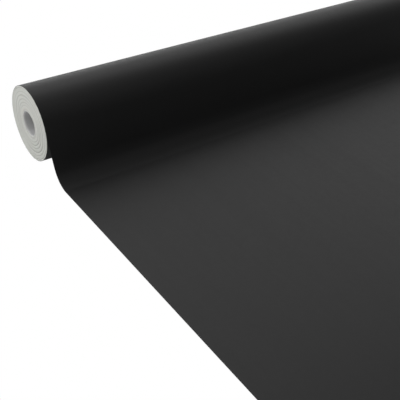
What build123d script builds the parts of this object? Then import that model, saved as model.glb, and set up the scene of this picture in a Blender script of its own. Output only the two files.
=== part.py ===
from build123d import *

import os
from math import cos, pi, radians, sin

# A roll of backdrop paper on its card core, with the sheet drawn off over the front of
# the roll, down to the floor and along it. The paper is one web. It is divided here where
# it changes what it does: wound up, last turn, falling, bending, lying, and leading end.
#
# +X runs along the roll, -Y is the way the sheet is drawn off and +Z is up. The origin
# is in the middle of the core's bore, and the floor is one roll radius below it.

# Driving dimensions, in mm and degrees
roll_width = 1350
roll_radius = 75
bore_radius = 25
core_wall = 5
liner_thickness = 0.4
wrap_thickness = 0.4
paper_thickness = 0.4
turning_gap = 0.3
tape_width = 48
tape_thickness = 0.25

# The sheet leaves the roll on a tangent, leaving_angle above the level of the axis, so it
# falls leaving_angle off the vertical. Then it bends on to the floor, gently and tightly.
leaving_angle = 21.6
upper_bend_radius = 112
upper_bend_angle = 10.9
lower_bend_radius = 45.2
tuck_angle = 8

# Where the leading end of the lying sheet starts, and where it is cut off
leading_y = -620
cut_end_y = -1000

# Worked out from them
core_radius = bore_radius + core_wall
liner_radius = bore_radius + liner_thickness
board_radius = core_radius - wrap_thickness
wound_radius = roll_radius - paper_thickness - turning_gap
lower_bend_angle = 90 - leaving_angle - upper_bend_angle
floor_z = -roll_radius
sheet_top_z = floor_z + paper_thickness
leaving_y = -roll_radius * cos(radians(leaving_angle))
leaving_z = roll_radius * sin(radians(leaving_angle))
mid_bend_sine = sin(radians(leaving_angle + upper_bend_angle))
upper_bend_drop = upper_bend_radius * (mid_bend_sine - sin(radians(leaving_angle)))
lower_bend_drop = lower_bend_radius * (1 - mid_bend_sine)
straight_drop = leaving_z - sheet_top_z - upper_bend_drop - lower_bend_drop
fall_length = straight_drop / cos(radians(leaving_angle))
tape_arc = tape_width / core_radius * 180 / pi

# Every section is drawn across the roll at its low X end and runs to the other end
end_plane = Plane.YZ.offset(-roll_width / 2)

os.makedirs("parts", exist_ok=True)


def tube(inner_radius, outer_radius):
    """One ply, or one group of plies, that runs the whole width of the roll."""
    with BuildPart() as ring:
        with BuildSketch(end_plane):
            Circle(outer_radius)
            Circle(inner_radius, mode=Mode.SUBTRACT)
        extrude(amount=roll_width)
    return ring


def flat_sheet(from_y, to_y):
    """A stretch of the sheet that lies on the floor."""
    with BuildPart() as stretch:
        with BuildSketch(Plane.XY.offset(floor_z)):
            with Locations((0, (from_y + to_y) / 2)):
                Rectangle(roll_width, from_y - to_y)
        extrude(amount=paper_thickness)
    return stretch


def finish(sub_part, name):
    """Label a finished piece and write it."""
    sub_part.part.label = name
    export_step(sub_part.part, f"parts/{name}.step")


# Core: smooth liner ply, body plies of grey board, and the outer ply that hides them
core_liner = tube(bore_radius, liner_radius)
core_board = tube(liner_radius, board_radius)
core_wrap = tube(board_radius, core_radius)

# Tape along the whole core, which holds the paper's first end to it
with BuildPart() as start_tape:
    with BuildSketch(end_plane):
        with BuildLine():
            CenterArc((0, 0), core_radius, 0, tape_arc)
            offset(amount=tape_thickness, side=Side.RIGHT)
        make_face()
    extrude(amount=roll_width)

# All the turns that are still wound up, with room for the tape under the first of them
with BuildPart() as wound_turns:
    with BuildSketch(end_plane):
        Circle(wound_radius)
        Circle(core_radius, mode=Mode.SUBTRACT)
    extrude(amount=roll_width)
    add(start_tape.part, mode=Mode.SUBTRACT)

# The last turn round the roll. It stays where it is while the roll turns inside it, and
# it is open for tuck_angle below the line where the sheet leaves.
with BuildPart() as outer_turn:
    with BuildSketch(end_plane):
        with BuildLine():
            CenterArc((0, 0), roll_radius, 180 - leaving_angle, tuck_angle - 360)
            offset(amount=paper_thickness, side=Side.RIGHT)
        make_face()
    extrude(amount=roll_width)

# The sheet as it falls: straight off the roll, then a gentle bend
with BuildPart() as falling_sheet:
    with BuildSketch(end_plane):
        with BuildLine():
            fall = PolarLine((leaving_y, leaving_z), fall_length, -90 - leaving_angle)
            upper_bend = JernArc(fall @ 1, fall % 1, upper_bend_radius, -upper_bend_angle)
            offset(amount=paper_thickness, side=Side.LEFT)
        make_face()
    extrude(amount=roll_width)

# The tight bend that lays it on the floor
with BuildPart() as floor_bend:
    with BuildSketch(end_plane):
        with BuildLine():
            lower_bend = JernArc(upper_bend @ 1, upper_bend % 1, lower_bend_radius, -lower_bend_angle)
            offset(amount=paper_thickness, side=Side.LEFT)
        make_face()
    extrude(amount=roll_width)

# The sheet on the floor: the stretch that grows as paper is drawn, and the leading end
lying_y = (lower_bend @ 1).X
floor_sheet = flat_sheet(lying_y, leading_y)
leading_sheet = flat_sheet(leading_y, cut_end_y)

finish(core_liner, "core_liner")
finish(core_board, "core_board")
finish(core_wrap, "core_wrap")
finish(start_tape, "start_tape")
finish(wound_turns, "wound_turns")
finish(outer_turn, "outer_turn")
finish(falling_sheet, "falling_sheet")
finish(floor_bend, "floor_bend")
finish(floor_sheet, "floor_sheet")
finish(leading_sheet, "leading_sheet")
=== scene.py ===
import random
from math import atan2, cos, pi, radians, sin

import bpy
from mathutils import Euler, Matrix, Vector


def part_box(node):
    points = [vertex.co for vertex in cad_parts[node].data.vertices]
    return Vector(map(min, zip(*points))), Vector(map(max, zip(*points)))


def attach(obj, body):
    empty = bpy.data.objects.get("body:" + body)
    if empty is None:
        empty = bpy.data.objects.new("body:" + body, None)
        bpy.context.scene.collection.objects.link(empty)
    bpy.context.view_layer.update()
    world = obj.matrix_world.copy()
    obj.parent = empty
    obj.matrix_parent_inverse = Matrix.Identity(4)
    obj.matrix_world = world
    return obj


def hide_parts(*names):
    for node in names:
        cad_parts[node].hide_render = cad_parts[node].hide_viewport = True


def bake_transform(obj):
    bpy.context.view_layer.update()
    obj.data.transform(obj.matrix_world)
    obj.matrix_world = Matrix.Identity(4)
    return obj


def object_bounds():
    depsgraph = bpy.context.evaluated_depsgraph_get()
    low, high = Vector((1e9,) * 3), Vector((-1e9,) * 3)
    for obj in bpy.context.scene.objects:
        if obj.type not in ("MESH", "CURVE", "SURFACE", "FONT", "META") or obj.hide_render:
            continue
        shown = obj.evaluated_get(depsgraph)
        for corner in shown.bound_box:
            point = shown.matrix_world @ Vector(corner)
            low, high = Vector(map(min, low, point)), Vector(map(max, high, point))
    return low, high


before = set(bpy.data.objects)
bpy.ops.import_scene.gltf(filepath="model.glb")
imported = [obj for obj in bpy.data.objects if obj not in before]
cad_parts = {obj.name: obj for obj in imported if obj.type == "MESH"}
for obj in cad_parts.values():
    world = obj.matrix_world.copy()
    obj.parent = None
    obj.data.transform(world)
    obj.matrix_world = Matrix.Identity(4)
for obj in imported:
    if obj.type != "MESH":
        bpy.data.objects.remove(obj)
cad_low, cad_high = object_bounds()

# ---------------------------------------------------------------- camera
# Eye level for somebody who kneels just past the near end, in front of the roll, and looks
# across it. The eye's place is counted from that end, from the axis and from the floor.
near_end = cad_low.x
roll_radius = -cad_low.z
eye_along = -0.4530
eye_forward = -1.1036
eye_up = 0.7898
look_round = radians(38.755)
look_down = radians(37.152)
head_tilt = radians(4.270)
lens_mm = 63.06

bpy.ops.object.camera_add(location=(near_end + eye_along, eye_forward, cad_low.z + eye_up))
camera = bpy.context.object
camera.name = "camera"
level_view = Euler((pi / 2 - look_down, 0, -look_round)).to_matrix()
camera.rotation_euler = (level_view @ Matrix.Rotation(head_tilt, 3, "Z")).to_euler()
camera.data.sensor_width = 36
camera.data.lens = lens_mm
camera.data.clip_start = 0.01
camera.data.clip_end = 200
bpy.context.scene.camera = camera
bpy.context.scene.view_settings.view_transform = "Standard"
bpy.context.scene.view_settings.look = "None"


# ---------------------------------------------------------------- studio
# A plain white floor, a soft sky that is bright behind the set and dark in front of it,
# and one softbox high on the left, which lights the near end of the roll.
def link(tree, *pairs):
    """Join the sockets of each (from, to) pair."""
    for source, target in pairs:
        tree.links.new(source, target)


floor_size = 60
floor_gap = 0.0002  # keeps the floor and the sheet's underside from sharing a plane
floor_tone = (0.90, 0.90, 0.90, 1)

bpy.ops.mesh.primitive_plane_add(size=floor_size, location=(0, 0, cad_low.z - floor_gap))
floor = bpy.context.object
floor.name = "studio_floor"
floor_paint = bpy.data.materials.new("floor_paint")
floor_paint.use_nodes = True
paint = floor_paint.node_tree
paint.nodes["Principled BSDF"].inputs["Base Color"].default_value = floor_tone
paint.nodes["Principled BSDF"].inputs["Roughness"].default_value = 0.9
paint.nodes["Principled BSDF"].inputs["Specular IOR Level"].default_value = 0.1
floor_white = paint.nodes.new("ShaderNodeEmission")
floor_ray = paint.nodes.new("ShaderNodeLightPath")
floor_mix = paint.nodes.new("ShaderNodeMixShader")
link(
    paint,
    (floor_ray.outputs["Is Camera Ray"], floor_mix.inputs["Fac"]),
    (paint.nodes["Principled BSDF"].outputs["BSDF"], floor_mix.inputs[1]),
    (floor_white.outputs["Emission"], floor_mix.inputs[2]),
    (floor_mix.outputs["Shader"], paint.nodes["Material Output"].inputs["Surface"]),
)
floor.data.materials.append(floor_paint)

# The sky is a row of long soft lights that run as the roll does. Its brightness goes by the
# angle round the roll, which is 0 at the floor behind the set, 90 overhead and 180 in front.
sky_steps = [
    (0, 5.00),
    (10, 0.90),
    (20, 0.30),
    (35, 1.39),
    (45, 1.54),
    (57, 1.63),
    (72, 0.15),
    (90, 0.10),
    (120, 0.29),
    (180, 0.00),
]
sky_top = max(value for _, value in sky_steps)

world = bpy.data.worlds.new("soft_studio")
bpy.context.scene.world = world
world.use_nodes = True
sky = world.node_tree
direction = sky.nodes.new("ShaderNodeTexCoord")
parts_of = sky.nodes.new("ShaderNodeSeparateXYZ")
round_roll = sky.nodes.new("ShaderNodeMath")
round_roll.operation = "ARCTAN2"
to_share = sky.nodes.new("ShaderNodeMapRange")
to_share.inputs["From Max"].default_value = pi
brightness = sky.nodes.new("ShaderNodeValToRGB")
steps = brightness.color_ramp.elements
while len(steps) < len(sky_steps):
    steps.new(0.5)
for step, (angle, value) in zip(steps, sky_steps):
    step.position = angle / 180
    step.color = (value / sky_top, value / sky_top, value / sky_top, 1)
soft = sky.nodes["Background"]
soft.inputs["Strength"].default_value = sky_top
white = sky.nodes.new("ShaderNodeBackground")
white.inputs["Color"].default_value = (1, 1, 1, 1)
ray = sky.nodes.new("ShaderNodeLightPath")
seen_or_lit = sky.nodes.new("ShaderNodeMixShader")
link(
    sky,
    (direction.outputs["Generated"], parts_of.inputs["Vector"]),
    (parts_of.outputs["Z"], round_roll.inputs[0]),
    (parts_of.outputs["Y"], round_roll.inputs[1]),
    (round_roll.outputs["Value"], to_share.inputs["Value"]),
    (to_share.outputs["Result"], brightness.inputs["Fac"]),
    (brightness.outputs["Color"], soft.inputs["Color"]),
    (ray.outputs["Is Camera Ray"], seen_or_lit.inputs["Fac"]),
    (soft.outputs["Background"], seen_or_lit.inputs[1]),
    (white.outputs["Background"], seen_or_lit.inputs[2]),
    (seen_or_lit.outputs["Shader"], sky.nodes["World Output"].inputs["Surface"]),
)

softbox_place = Vector((near_end - 0.74, -0.13, 1.41))
softbox_aim = Vector((near_end, 0, 0))
softbox_size = 1.3
softbox_watts = 9
bpy.ops.object.light_add(type="AREA", location=softbox_place)
softbox = bpy.context.object
softbox.name = "softbox"
softbox.data.shape = "SQUARE"
softbox.data.size = softbox_size
softbox.data.energy = softbox_watts
softbox.rotation_euler = (softbox_aim - softbox_place).to_track_quat("-Z", "Y").to_euler()


# ---------------------------------------------------------------- card core
# A spiral-wound paper tube. A smooth grey liner ply, body plies of grey board and an outer
# ply are glued one on the next while they wind, and the tube is sawn to length.
same_place = 1e-5  # points closer together than this are one point


def start_fresh():
    """Leave nothing selected, so that the next tools work on new geometry alone."""
    bpy.ops.object.select_all(action="DESELECT")


def spun_ring(name, inner_radius, outer_radius, rounding, steps=96):
    """A tube the length of the roll: its wall's outline is drawn once and spun about X."""
    start_fresh()
    middle = (inner_radius + outer_radius) / 2
    bpy.ops.mesh.primitive_plane_add(size=1, location=(0, 0, middle), rotation=(pi / 2, 0, 0))
    tube = bpy.context.object
    tube.name = name
    tube.scale = (cad_high.x - cad_low.x, outer_radius - inner_radius, 1)
    bpy.ops.object.transform_apply(location=True, rotation=True, scale=True)
    bpy.ops.object.mode_set(mode="EDIT")
    bpy.ops.mesh.select_all(action="SELECT")
    bpy.ops.mesh.delete(type="ONLY_FACE")
    bpy.ops.mesh.select_all(action="SELECT")
    bpy.ops.mesh.bevel(offset=rounding, segments=3, affect="VERTICES")
    bpy.ops.mesh.select_all(action="SELECT")
    bpy.ops.mesh.spin(steps=steps, angle=2 * pi, center=(0, 0, 0), axis=(1, 0, 0))
    bpy.ops.mesh.select_all(action="SELECT")
    bpy.ops.mesh.remove_doubles(threshold=same_place)
    bpy.ops.mesh.normals_make_consistent(inside=False)
    bpy.ops.object.mode_set(mode="OBJECT")
    bpy.ops.object.shade_smooth_by_angle(angle=radians(35))
    return tube


def new_material(name):
    """A material, its nodes, its shader, and its piece's own coordinates."""
    material = bpy.data.materials.new(name)
    material.use_nodes = True
    tree = material.node_tree
    place = tree.nodes.new("ShaderNodeTexCoord").outputs["Object"]
    return material, tree, tree.nodes["Principled BSDF"], place


def noise(tree, place, scale, detail=2, roughness=0.5, stretch=None):
    """A noise pattern with scale grains to the metre, drawn out where stretch is small."""
    if stretch:
        mapping = tree.nodes.new("ShaderNodeMapping")
        mapping.inputs["Scale"].default_value = stretch
        link(tree, (place, mapping.inputs["Vector"]))
        place = mapping.outputs["Vector"]
    pattern = tree.nodes.new("ShaderNodeTexNoise")
    pattern.inputs["Scale"].default_value = scale
    pattern.inputs["Detail"].default_value = detail
    pattern.inputs["Roughness"].default_value = roughness
    link(tree, (place, pattern.inputs["Vector"]))
    return pattern.outputs["Fac"]


def spread_over(tree, value, low, high, from_low=0.3, from_high=0.7):
    """The pattern's middle range, spread from low to high."""
    spread = tree.nodes.new("ShaderNodeMapRange")
    spread.inputs["From Min"].default_value = from_low
    spread.inputs["From Max"].default_value = from_high
    spread.inputs["To Min"].default_value = low
    spread.inputs["To Max"].default_value = high
    link(tree, (value, spread.inputs["Value"]))
    return spread.outputs["Result"]


def tones(tree, value, *stops):
    """A colour for each (place, colour) stop along the pattern."""
    ramp = tree.nodes.new("ShaderNodeValToRGB")
    points = ramp.color_ramp.elements
    while len(points) < len(stops):
        points.new(0.5)
    for point, (place, colour) in zip(points, stops):
        point.position = place
        point.color = (*colour, 1)
    link(tree, (value, ramp.inputs["Fac"]))
    return ramp.outputs["Color"]


def bump(tree, shader, height, depth, strength=1.0):
    """Relief of that depth, in metres, on top of any that the shader already has."""
    relief = tree.nodes.new("ShaderNodeBump")
    relief.inputs["Distance"].default_value = depth
    relief.inputs["Strength"].default_value = strength
    link(tree, (height, relief.inputs["Height"]))
    if shader.inputs["Normal"].is_linked:
        before = shader.inputs["Normal"].links[0].from_socket
        link(tree, (before, relief.inputs["Normal"]))
    link(tree, (relief.outputs["Normal"], shader.inputs["Normal"]))


def arithmetic(tree, operation, first, second):
    """One step of arithmetic on a pattern, with a number or with another pattern."""
    step = tree.nodes.new("ShaderNodeMath")
    step.operation = operation
    for socket, value in zip(step.inputs, (first, second)):
        if isinstance(value, (int, float)):
            socket.default_value = value
        else:
            link(tree, (value, socket))
    return step.outputs["Value"]


ply_thickness = 0.0004
ply_rounding = 0.00012
board_rounding = 0.0003
liner_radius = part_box("core_liner")[1].z
bore_radius = liner_radius - ply_thickness
board_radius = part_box("core_board")[1].z
core_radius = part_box("core_wrap")[1].z

liner_paper, liner_tree, liner_shader, liner_place = new_material("liner_paper")
liner_fibres = noise(liner_tree, liner_place, scale=900, detail=4)
liner_clouds = noise(liner_tree, liner_place, scale=60)
smooth_grey = tones(
    liner_tree, liner_clouds, (0.3, (0.49, 0.49, 0.49)), (0.7, (0.55, 0.55, 0.55))
)
# Painted highlight: the first few millimetres inside the bore are painted pale, standing in
# for the light that falls on the lip
lip_highlight_tone = (0.86, 0.86, 0.85, 1)
lip_highlight_depth = 0.005
liner_axes = liner_tree.nodes.new("ShaderNodeSeparateXYZ")
liner_lip_highlight = liner_tree.nodes.new("ShaderNodeMix")
liner_lip_highlight.data_type = "RGBA"
liner_lip_highlight.inputs["B"].default_value = lip_highlight_tone
link(liner_tree, (liner_place, liner_axes.inputs["Vector"]))
from_middle = arithmetic(liner_tree, "ABSOLUTE", liner_axes.outputs["X"], 0)
from_end = arithmetic(liner_tree, "SUBTRACT", cad_high.x, from_middle)
lip_highlight_share = spread_over(liner_tree, from_end, 1, 0, from_low=0, from_high=lip_highlight_depth)
link(
    liner_tree,
    (lip_highlight_share, liner_lip_highlight.inputs["Factor"]),
    (smooth_grey, liner_lip_highlight.inputs["A"]),
    (liner_lip_highlight.outputs["Result"], liner_shader.inputs["Base Color"]),
    (spread_over(liner_tree, liner_fibres, 0.5, 0.62), liner_shader.inputs["Roughness"]),
)
bump(liner_tree, liner_shader, liner_fibres, depth=0.00004)

board_paper, board_tree, board_shader, board_place = new_material("grey_board")
board_fibres = noise(board_tree, board_place, scale=1400, detail=5, roughness=0.65)
board_grey = tones(
    board_tree, board_fibres, (0.3, (0.53, 0.53, 0.50)), (0.7, (0.61, 0.61, 0.58))
)
link(
    board_tree,
    (board_grey, board_shader.inputs["Base Color"]),
    (spread_over(board_tree, board_fibres, 0.8, 0.92), board_shader.inputs["Roughness"]),
)
bump(board_tree, board_shader, board_fibres, depth=0.00012)

core_liner = spun_ring("core_liner_tube", bore_radius, liner_radius, ply_rounding)
core_liner.data.materials.append(liner_paper)
core_board = spun_ring("core_board_tube", liner_radius, board_radius, board_rounding)
core_board.data.materials.append(board_paper)
core_wrap = spun_ring("core_wrap_tube", board_radius, core_radius, ply_rounding)
core_wrap.data.materials.append(board_paper)
for tube, node, slot_name in (
    (core_liner, "core_liner", "core_liner"),
    (core_board, "core_board", "core_board"),
    (core_wrap, "core_wrap", "core_board"),
):
    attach(tube, "roll")
    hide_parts(node)


# ---------------------------------------------------------------- start tape
# A strip of cloth tape the length of the core. It holds the paper's first end to the
# core and is buried under every turn.
tape_cloth, tape_tree, tape_shader, tape_place = new_material("tape_cloth")
tape_weave = noise(tape_tree, tape_place, scale=1200, detail=3)
tape_straw = tones(tape_tree, tape_weave, (0.3, (0.62, 0.55, 0.40)), (0.7, (0.76, 0.70, 0.54)))
link(
    tape_tree,
    (tape_straw, tape_shader.inputs["Base Color"]),
    (spread_over(tape_tree, tape_weave, 0.45, 0.6), tape_shader.inputs["Roughness"]),
)
bump(tape_tree, tape_shader, tape_weave, depth=0.00005)
start_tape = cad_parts["start_tape"]
start_tape.data.materials.clear()
start_tape.data.materials.append(tape_cloth)


# ---------------------------------------------------------------- wound turns
# The paper still on the roll: some two hundred turns of black-faced paper on a pale base.
# Their cut edges make the end, which has a step wherever the winding drifted sideways.
wound_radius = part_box("wound_turns")[1].z
first_turn_radius = core_radius + 0.0003  # just over the tape
turn_step = 0.0004  # two turns of thin stock, or one of thick
# Each ring is where the winding drifted: its radius, half width and depth, and how far the
# band of turns outside it stands back
rings = (
    (0.0365, 0.0011, 0.0007, 0.00008),
    (0.0428, 0.0013, 0.0009, 0.00002),
    (0.0491, 0.0011, 0.0008, 0.00007),
    (0.0570, 0.0015, 0.0009, 0.00000),
    (0.0638, 0.0012, 0.0006, 0.00005),
    (0.0712, 0.0010, 0.0008, 0.00000),
)
deepest_ring = 0.0009
drift = 0.00012  # how unevenly one turn lies beside the next
wobble = 0.0007  # how far the rings run off centre
second_wobble = 0.4
wobble_twist = 9  # how much further round the second wobble has gone from core to rim
deepest_side = radians(-125)
depth_change = 0.22  # half the share of a ring's depth that is lost on its shallow side
rim_margin = 0.0005  # kept true at the core and at the rim, where other pieces touch
skin_depth = 0.0003
spin_steps = 160
band_share, turn_share, fibre_share = 0.55, 0.25, 0.20
ring_wander = 0.0012

edge_paper, edge_tree, edge_shader, edge_place = new_material("paper_edges")
across = edge_tree.nodes.new("ShaderNodeSeparateXYZ")
link(edge_tree, (edge_place, across.inputs["Vector"]))
squares = [
    arithmetic(edge_tree, "MULTIPLY", across.outputs[axis], across.outputs[axis])
    for axis in ("Y", "Z")
]
out_from_axis = arithmetic(edge_tree, "SQRT", arithmetic(edge_tree, "ADD", *squares), 0)
wander_pattern = noise(edge_tree, edge_place, scale=22)
wander = spread_over(edge_tree, wander_pattern, -ring_wander, ring_wander)
wandering_radius = arithmetic(edge_tree, "ADD", out_from_axis, wander)


def bands_across(scale, detail, radius):
    """Light and dark bands that follow the turns, scale of them to the metre."""
    pattern = edge_tree.nodes.new("ShaderNodeTexNoise")
    pattern.noise_dimensions = "1D"
    pattern.inputs["Scale"].default_value = scale
    pattern.inputs["Detail"].default_value = detail
    link(edge_tree, (radius, pattern.inputs["W"]))
    return pattern.outputs["Fac"]


bands = bands_across(scale=260, detail=3, radius=wandering_radius)
turns = bands_across(scale=2500, detail=1, radius=out_from_axis)
edge_fibres = noise(edge_tree, edge_place, scale=1100, detail=4, roughness=0.6)
fine_pattern = arithmetic(
    edge_tree,
    "ADD",
    arithmetic(edge_tree, "MULTIPLY", turns, turn_share),
    arithmetic(edge_tree, "MULTIPLY", edge_fibres, fibre_share),
)
edge_pattern = arithmetic(
    edge_tree, "ADD", arithmetic(edge_tree, "MULTIPLY", bands, band_share), fine_pattern
)
edge_tone = tones(
    edge_tree,
    edge_pattern,
    (0.3, (0.61, 0.62, 0.580)),
    (0.5, (0.66, 0.67, 0.630)),
    (0.7, (0.69, 0.70, 0.660)),
)
# Painted shade: the paper is painted darker where a turn stands back, in the grooves between
# bands of turns
from_middle = arithmetic(edge_tree, "ABSOLUTE", across.outputs["X"], 0)
set_back = arithmetic(edge_tree, "SUBTRACT", cad_high.x, from_middle)
recess_shade_share = spread_over(edge_tree, set_back, 0, 1, from_low=0, from_high=deepest_ring)
recess_shade_tone = (0.55, 0.54, 0.53, 1)
recess_shade_mix = edge_tree.nodes.new("ShaderNodeMix")
recess_shade_mix.data_type = "RGBA"
recess_shade_mix.blend_type = "MULTIPLY"
recess_shade_mix.inputs["B"].default_value = recess_shade_tone
link(
    edge_tree,
    (recess_shade_share, recess_shade_mix.inputs["Factor"]),
    (edge_tone, recess_shade_mix.inputs["A"]),
    (recess_shade_mix.outputs["Result"], edge_shader.inputs["Base Color"]),
    (spread_over(edge_tree, edge_fibres, 0.75, 0.9), edge_shader.inputs["Roughness"]),
)
bump(edge_tree, edge_shader, turns, depth=0.0001, strength=0.6)
bump(edge_tree, edge_shader, edge_fibres, depth=0.00008)

# The black face, which the outermost of the wound turns and the drawn sheet share
cloud_share, streak_share = 0.6, 0.4
coat, coat_tree, coat_shader, coat_place = new_material("black_coat")
coat_grain = noise(coat_tree, coat_place, scale=1800, detail=3, roughness=0.55)
coat_clouds = noise(coat_tree, coat_place, scale=140, detail=3)
coat_streaks = noise(coat_tree, coat_place, scale=90, detail=3, stretch=(1, 0.02, 0.02))
coat_pattern = arithmetic(
    coat_tree,
    "ADD",
    arithmetic(coat_tree, "MULTIPLY", coat_clouds, cloud_share),
    arithmetic(coat_tree, "MULTIPLY", coat_streaks, streak_share),
)
coat_black = tones(
    coat_tree, coat_pattern, (0.3, (0.0016, 0.0016, 0.0017)), (0.7, (0.0024, 0.0024, 0.0025))
)
link(
    coat_tree,
    (coat_black, coat_shader.inputs["Base Color"]),
    (spread_over(coat_tree, coat_pattern, 0.52, 0.58), coat_shader.inputs["Roughness"]),
)
bump(coat_tree, coat_shader, coat_grain, depth=0.00003, strength=0.6)

# One point at the core, which is drawn out turn by turn, along the roll and back
random.seed(7)
start_fresh()
bpy.ops.mesh.primitive_plane_add(size=0.01, location=(near_end, 0, first_turn_radius))
wound_turns = bpy.context.object
wound_turns.name = "wound_roll"
bpy.ops.object.transform_apply(location=True, rotation=True, scale=True)
bpy.ops.object.mode_set(mode="EDIT")
bpy.ops.mesh.select_all(action="SELECT")
bpy.ops.mesh.merge(type="CENTER")


def draw_end(inwards, radii):
    """Draw one end's outline turn by turn. inwards is +1 or -1, from the end into the roll."""
    sunk = 0
    at = radii[0]
    for radius in radii[1:]:
        new_sunk = random.uniform(0, drift)
        for ring, half_width, depth, _ in rings:
            new_sunk += depth * max(0, 1 - abs(radius - ring) / half_width)
        inner_rings = [level for ring, _, _, level in rings if ring < radius]
        new_sunk += inner_rings[-1] if inner_rings else 0
        if abs(radius - wound_radius) < same_place or abs(radius - radii[-1]) < same_place:
            new_sunk = 0
        step = (inwards * (new_sunk - sunk), 0, radius - at)
        bpy.ops.mesh.extrude_region_move(TRANSFORM_OT_translate={"value": step})
        sunk = new_sunk
        at = radius


turn_count = round((wound_radius - first_turn_radius) / turn_step)
turn_spacing = (wound_radius - first_turn_radius) / turn_count
radii = [first_turn_radius + turn_spacing * i for i in range(turn_count + 1)]
roll_length = cad_high.x - cad_low.x
draw_end(1, radii)
bpy.ops.mesh.extrude_region_move(TRANSFORM_OT_translate={"value": (roll_length, 0, 0)})
draw_end(-1, radii[::-1])
bpy.ops.mesh.extrude_region_move(TRANSFORM_OT_translate={"value": (-roll_length, 0, 0)})
bpy.ops.mesh.select_all(action="SELECT")
bpy.ops.mesh.remove_doubles(threshold=same_place)
bpy.ops.mesh.select_all(action="SELECT")
bpy.ops.mesh.spin(steps=spin_steps, angle=2 * pi, center=(0, 0, 0), axis=(1, 0, 0))
bpy.ops.mesh.select_all(action="SELECT")
bpy.ops.mesh.remove_doubles(threshold=same_place)
bpy.ops.mesh.normals_make_consistent(inside=False)
bpy.ops.object.mode_set(mode="OBJECT")

# No winding is true, so the steps run a little off centre and are deepest on one side
for point in wound_turns.data.vertices:
    stands_back = cad_high.x - abs(point.co.x)
    radius = point.co.yz.length
    between_rims = core_radius + rim_margin < radius < wound_radius - rim_margin
    if between_rims and stands_back < 2 * deepest_ring:
        angle = atan2(point.co.z, point.co.y)
        share = (radius - core_radius) / (wound_radius - core_radius)
        swing = cos(angle - deepest_side)
        swing += second_wobble * cos(2 * angle + wobble_twist * share)
        radius_scale = 1 + wobble * sin(pi * share) * swing / radius
        point.co.y *= radius_scale
        point.co.z *= radius_scale
        shallower = 1 - depth_change + depth_change * cos(angle - deepest_side)
        point.co.x = (cad_high.x - stands_back * shallower) * (1 if point.co.x > 0 else -1)

bpy.ops.object.shade_smooth_by_angle(angle=radians(40))
wound_turns.data.materials.append(edge_paper)
wound_turns.data.materials.append(coat)
for face in wound_turns.data.polygons:
    at_rim = face.center.yz.length > wound_radius - skin_depth
    face.material_index = 1 if at_rim and abs(face.normal.x) < 0.1 else 0
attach(wound_turns, "roll")
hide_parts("wound_turns")


# ---------------------------------------------------------------- the drawn sheet
# The rest of the same paper: its last turn round the roll, the fall to the floor, and the
# stretch that lies there. Its black face is outwards and upwards, and its back is pale.
width = roll_length
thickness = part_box("floor_sheet")[1].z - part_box("floor_sheet")[0].z
leaving_angle = radians(21.6)
upper_bend_angle = radians(10.9)
lower_bend_angle = pi / 2 - leaving_angle - upper_bend_angle
upper_bend_radius = 0.112
lower_bend_radius = 0.0452
tuck_angle = radians(8)
lying_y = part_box("floor_sheet")[1].y
leading_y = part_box("leading_sheet")[1].y
cut_end_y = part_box("leading_sheet")[0].y
sheet_top = cad_low.z + thickness
curl_radius = 0.26
curl_angle = radians(14)
leaving_y = -roll_radius * cos(leaving_angle)
leaving_z = roll_radius * sin(leaving_angle)
mid_sine = sin(leaving_angle + upper_bend_angle)
fall_drop = (
    leaving_z
    - sheet_top
    - upper_bend_radius * (mid_sine - sin(leaving_angle))
    - lower_bend_radius * (1 - mid_sine)
)
fall_length = fall_drop / cos(leaving_angle)
across_steps = 26

sheet_back, back_tree, back_shader, back_place = new_material("pale_back")
back_fibres = noise(back_tree, back_place, scale=700, detail=4, roughness=0.6)
back_grey = tones(
    back_tree, back_fibres, (0.3, (0.50, 0.505, 0.475)), (0.7, (0.58, 0.585, 0.555))
)
link(
    back_tree,
    (back_grey, back_shader.inputs["Base Color"]),
    (spread_over(back_tree, back_fibres, 0.75, 0.88), back_shader.inputs["Roughness"]),
)
bump(back_tree, back_shader, back_fibres, depth=0.00005)


def select_line(sheet, y, z):
    """Select only the line of edges across the sheet at that place."""
    bpy.ops.mesh.select_all(action="DESELECT")
    bpy.ops.object.mode_set(mode="OBJECT")
    for point in sheet.data.vertices:
        point.select = abs(point.co.y - y) < same_place and abs(point.co.z - z) < same_place
    for edge in sheet.data.edges:
        edge.select = all(sheet.data.vertices[i].select for i in edge.vertices)
    bpy.ops.object.mode_set(mode="EDIT")


def run_on(y, z, steps):
    """Draw the selected line out by that much, in equal steps."""
    for _ in range(steps):
        step = (0, y / steps, z / steps)
        bpy.ops.mesh.extrude_region_move(TRANSFORM_OT_translate={"value": step})


def bend_round(y, z, angle, steps):
    """Carry the selected line round a centre, the angle counted from -Y up to +Z."""
    bpy.ops.mesh.spin(steps=steps, angle=angle, center=(0, y, z), axis=(1, 0, 0))


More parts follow.
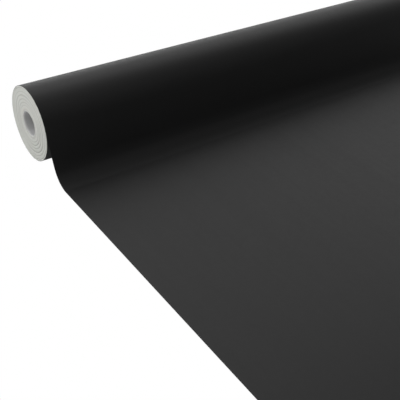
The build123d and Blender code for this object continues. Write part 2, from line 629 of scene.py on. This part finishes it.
# One line across the sheet, where it leaves the roll, which is drawn out both ways
start_fresh()
bpy.ops.mesh.primitive_plane_add(size=width, location=(0, leaving_y + width / 2, leaving_z))
web = bpy.context.object
web.name = "paper_sheet"
bpy.ops.object.transform_apply(location=True, rotation=True, scale=True)
bpy.ops.object.mode_set(mode="EDIT")
bpy.ops.mesh.select_mode(type="EDGE")
select_line(web, leaving_y, leaving_z)
bpy.ops.mesh.select_all(action="INVERT")
bpy.ops.mesh.delete(type="EDGE")
bpy.ops.mesh.select_all(action="SELECT")
bpy.ops.mesh.subdivide(number_cuts=across_steps - 1)

# Down the straight fall, through both bends, along the floor and up the lifted end
bpy.ops.mesh.select_all(action="SELECT")
run_on(-fall_length * sin(leaving_angle), -fall_length * cos(leaving_angle), steps=5)
fall_end_y = leaving_y - fall_length * sin(leaving_angle)
fall_end_z = leaving_z - fall_length * cos(leaving_angle)
upper_centre_y = fall_end_y - upper_bend_radius * cos(leaving_angle)
upper_centre_z = fall_end_z + upper_bend_radius * sin(leaving_angle)
bend_round(upper_centre_y, upper_centre_z, upper_bend_angle, steps=6)
bend_round(lying_y, sheet_top + lower_bend_radius, lower_bend_angle, steps=28)
run_on(leading_y - lying_y, 0, steps=24)
curl_start_y = cut_end_y + curl_radius * sin(curl_angle)
run_on(curl_start_y - leading_y, 0, steps=14)
bend_round(curl_start_y, sheet_top + curl_radius, curl_angle, steps=10)

# Back from the same line, over the top of the roll and nearly all the way round it
select_line(web, leaving_y, leaving_z)
bend_round(0, 0, 2 * pi - tuck_angle, steps=150)
bpy.ops.mesh.select_all(action="SELECT")
bpy.ops.mesh.remove_doubles(threshold=same_place)
bpy.ops.mesh.normals_make_consistent(inside=False)
bpy.ops.object.mode_set(mode="OBJECT")
floor_faces = [face for face in web.data.polygons if leading_y < face.center.y < lying_y]
if floor_faces[0].normal.z < 0:
    bpy.ops.object.mode_set(mode="EDIT")
    bpy.ops.mesh.select_all(action="SELECT")
    bpy.ops.mesh.flip_normals()
    bpy.ops.object.mode_set(mode="OBJECT")

web.data.materials.append(coat)
web.data.materials.append(sheet_back)
wall = web.modifiers.new("paper_thickness", "SOLIDIFY")
wall.thickness = thickness
wall.offset = -1
wall.use_even_offset = True
wall.material_offset = 1
wall.material_offset_rim = 0
bpy.context.view_layer.objects.active = web
bpy.ops.object.modifier_apply(modifier=wall.name)
bpy.ops.object.shade_smooth_by_angle(angle=radians(40))

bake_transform(web)
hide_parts("outer_turn", "falling_sheet", "floor_bend", "floor_sheet", "leading_sheet")
